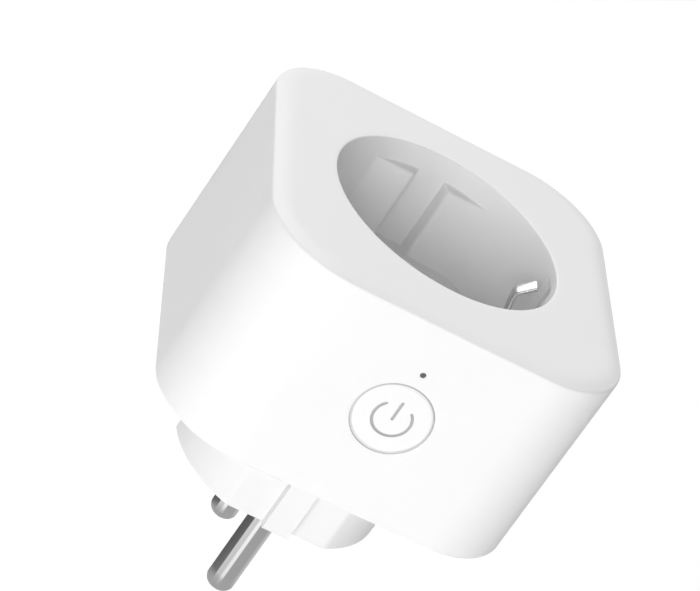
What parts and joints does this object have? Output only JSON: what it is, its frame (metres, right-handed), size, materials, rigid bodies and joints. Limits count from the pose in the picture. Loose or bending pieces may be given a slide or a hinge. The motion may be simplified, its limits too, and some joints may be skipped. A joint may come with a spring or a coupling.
{
  "type": "smart plug",
  "caption": "Square white Wi-Fi smart plug: round recessed socket with side earth clips in front, round plug boss with pins behind, push button on one side.",
  "frame": {"origin": "centre of the plug boss's pin-side face, the face that meets the floor of the wall socket", "axes": "+Z along the plug from the wall towards the appliance, -Y the side with the power button, the contact pins on the Y axis"},
  "size_m": [0.061, 0.061, 0.0722],
  "materials": {
    "housing_plastic": "satin moulded white polycarbonate",
    "rear_plastic": "satin moulded white polycarbonate",
    "button_plastic": "satin moulded white plastic",
    "plug_pin_metal": "bright nickel plate on brass",
    "earth_metal": "nickel plated spring strip",
    "contact_brass": "stamped brass",
    "busbar_brass": "stamped brass",
    "shutter_plastic": "moulded grey plastic",
    "spring_steel": "spring wire",
    "screw_steel": "zinc plated",
    "green_board": "glass epoxy board with green mask",
    "blue_board": "glass epoxy board with blue mask",
    "shield_steel": "tinned sheet",
    "relay_plastic": "moulded blue plastic",
    "ferrite": "sintered ferrite",
    "winding_tape": "yellow polyester tape",
    "capacitor_sleeve": "shrink sleeve",
    "varistor_coat": "dipped epoxy",
    "resistor_coat": "cement coat",
    "chip_plastic": "moulded epoxy",
    "connector_plastic": "moulded black plastic",
    "switch_plastic": "pressed steel cover",
    "lamp_plastic": "clear moulded plastic"
  },
  "bodies": {
    "housing": {"front_housing": "housing_plastic", "rear_cover": "rear_plastic", "live_pin": "plug_pin_metal", "neutral_pin": "plug_pin_metal", "plug_earth_contact_left": "earth_metal", "plug_earth_contact_right": "earth_metal", "socket_earth_bracket": "earth_metal", "live_contact": "contact_brass", "neutral_contact": "contact_brass", "live_busbar": "busbar_brass", "neutral_busbar": "busbar_brass", "current_shunt": "busbar_brass", "shutter_carrier": "shutter_plastic", "shutter_spring": "spring_steel", "carrier_screw_1": "screw_steel", "carrier_screw_2": "screw_steel", "cover_screw_1": "screw_steel", "cover_screw_2": "screw_steel", "cover_screw_3": "screw_steel", "cover_screw_4": "screw_steel", "main_pcb": "green_board", "control_pcb": "green_board", "wifi_module_board": "blue_board", "wifi_shield_can": "shield_steel", "relay": "relay_plastic", "transformer_core": "ferrite", "transformer_winding": "winding_tape", "capacitor_1": "capacitor_sleeve", "capacitor_2": "capacitor_sleeve", "varistor": "varistor_coat", "fuse_resistor": "resistor_coat", "metering_chip": "chip_plastic", "power_chip": "chip_plastic", "board_connector": "connector_plastic", "tact_switch_body": "switch_plastic", "status_led": "lamp_plastic", "light_pipe": "lamp_plastic"},
    "button": {"power_button": "button_plastic", "switch_plunger": "connector_plastic"},
    "shutter": {"safety_shutter": "shutter_plastic"}
  },
  "joints": [
    {"name": "button_press", "type": "slide", "parent": "housing", "child": "button", "axis": [0, 1, 0], "range_m": [0, 0.0005], "stiffness_N_per_m": 800, "springref_m": -0.001},
    {"name": "shutter_turn", "type": "hinge", "parent": "housing", "child": "shutter", "pos_m": [0, 0, 0.03255], "axis": [0, 0, 1], "range_deg": [0, 42], "stiffness_Nm_per_rad": 0.004, "springref_deg": -20.05}
  ]
}
